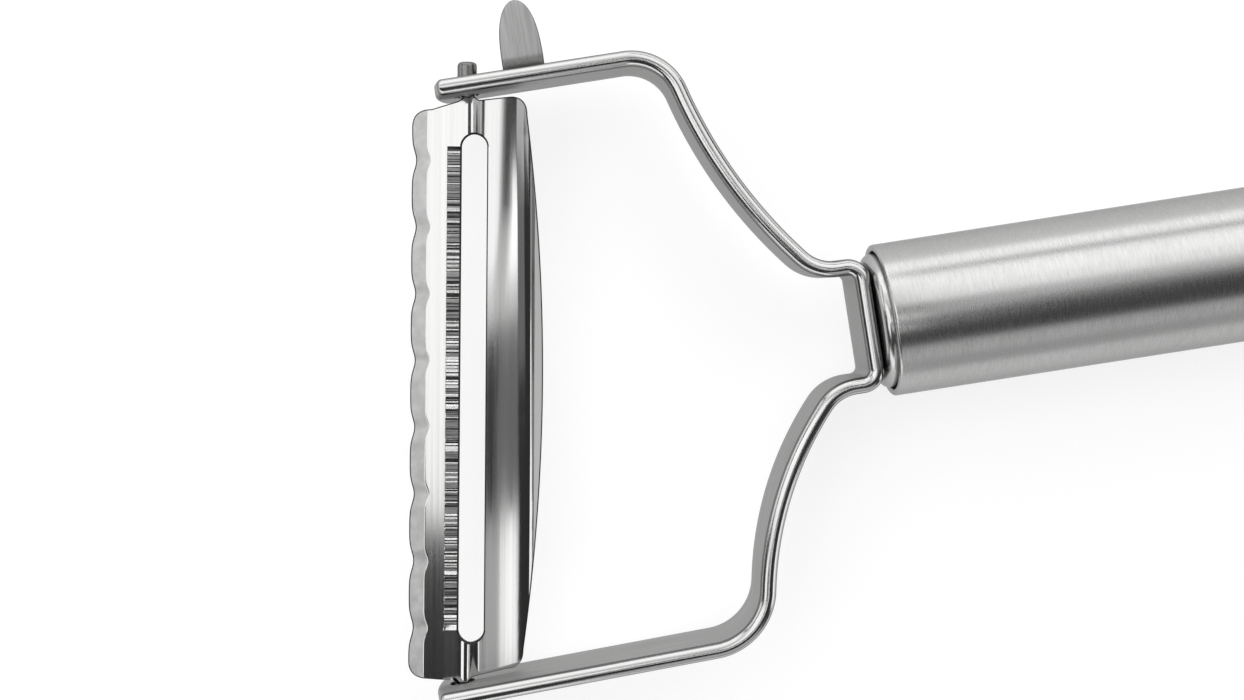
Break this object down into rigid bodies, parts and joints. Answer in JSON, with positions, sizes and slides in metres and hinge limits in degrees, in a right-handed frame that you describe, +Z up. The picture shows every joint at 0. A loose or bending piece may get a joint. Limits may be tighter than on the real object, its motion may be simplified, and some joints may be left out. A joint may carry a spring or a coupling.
{
  "type": "vegetable peeler",
  "caption": "Wide swivel vegetable peeler: round steel tube handle with a hanging ring, flat-wire yoke, skewed slotted blade that swings on its pins, and an eye-remover tongue.",
  "frame": {"origin": "on the flat underside of the handle tube, at the middle of the tube's length", "axes": "+X along the handle from the blade towards the hanging ring, +Y across the yoke towards the arm that carries the eye remover, +Z up, square to the yoke's plane, towards the blade's ground face"},
  "size_m": [0.2012, 0.0821, 0.018],
  "materials": {
    "handle_tube": "round-brushed stainless steel",
    "front_plug": "polished stainless steel",
    "rear_cap": "polished stainless steel",
    "hanging_ring": "polished stainless steel wire",
    "yoke": "satin-polished stainless steel flat wire",
    "blade": "fine-brushed stainless blade steel",
    "eye_remover": "lengthwise-brushed stainless steel sheet"
  },
  "bodies": {
    "frame": {"handle_tube": "handle_tube", "front_plug": "front_plug", "rear_cap": "rear_cap", "hanging_ring": "hanging_ring", "yoke": "yoke", "eye_remover": "eye_remover"},
    "blade": {"blade": "blade"}
  },
  "joints": [
    {"name": "blade_swivel", "type": "hinge", "parent": "frame", "child": "blade", "pos_m": [-0.1071, 0, 0.00898], "axis": [0.1607, 0.987, 0], "range_deg": [-75, 75]}
  ]
}
